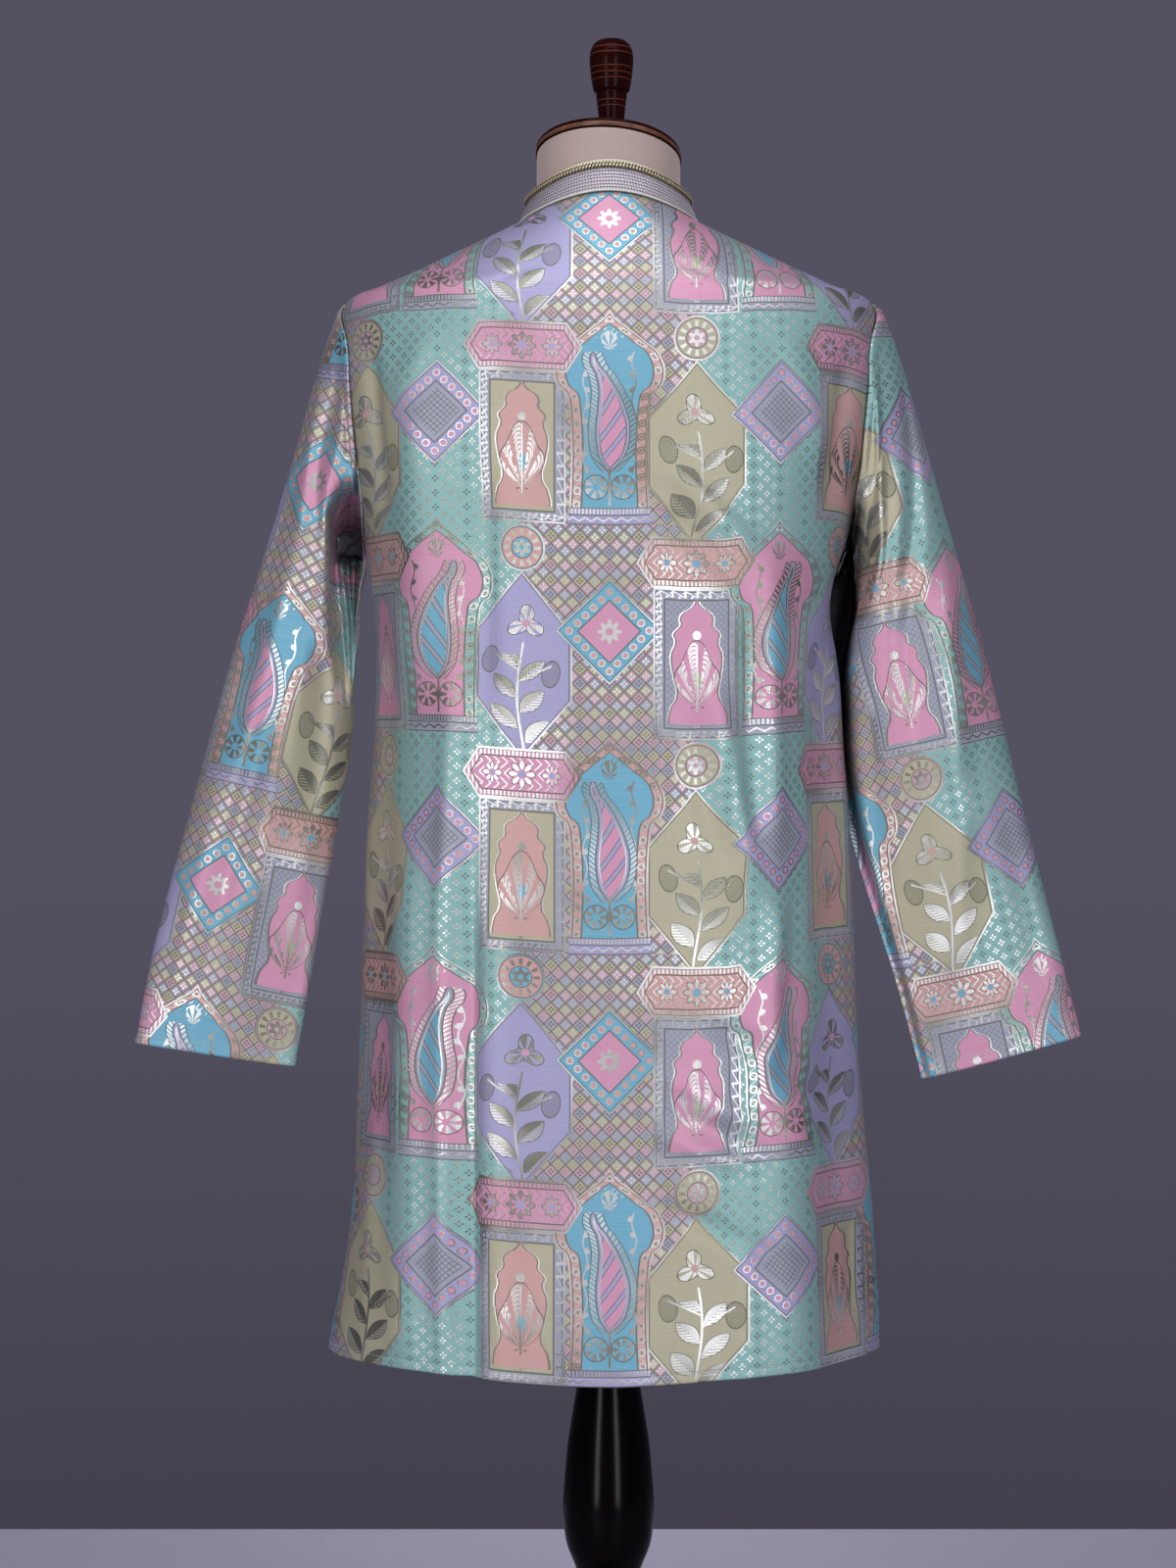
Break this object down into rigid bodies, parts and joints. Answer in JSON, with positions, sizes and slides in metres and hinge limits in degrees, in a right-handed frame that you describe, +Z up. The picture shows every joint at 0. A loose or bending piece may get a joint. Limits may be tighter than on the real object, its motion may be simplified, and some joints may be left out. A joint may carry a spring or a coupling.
{
  "type": "kurta on a dress form",
  "caption": "A knee-length pastel brocade kurta with a stand collar, straight sleeves and side slits, worn by a limbless dress form on a turned wooden stand.",
  "frame": {"origin": "On the floor under the middle of the stand.", "axes": "+Z up. The wearer faces -Y, so the back of the kurta faces +Y. The wearer's left is +X."},
  "size_m": [0.8141, 0.38, 1.5602],
  "materials": {
    "brocade": "pastel brocade with silver thread",
    "embroidered_tape": "rows of silver-lilac chain stitch",
    "metallic_braid": "twisted antique gold thread",
    "button": "plain pale gloss",
    "form_cover": "smooth pinkish beige jersey",
    "cap_wood": "satin brown",
    "turned_wood": "near-black mahogany, high gloss"
  },
  "bodies": {
    "root": {"back": "brocade", "front": "brocade", "sleeve_left": "brocade", "sleeve_right": "brocade", "collar": "brocade", "collar_trim": "embroidered_tape", "collar_braid": "metallic_braid", "placket": "brocade", "button_1": "button", "button_2": "button", "button_3": "button", "button_4": "button", "dress_form": "form_cover", "neck_cap": "cap_wood", "knob": "turned_wood", "column": "turned_wood", "base": "turned_wood"}
  },
  "joints": []
}
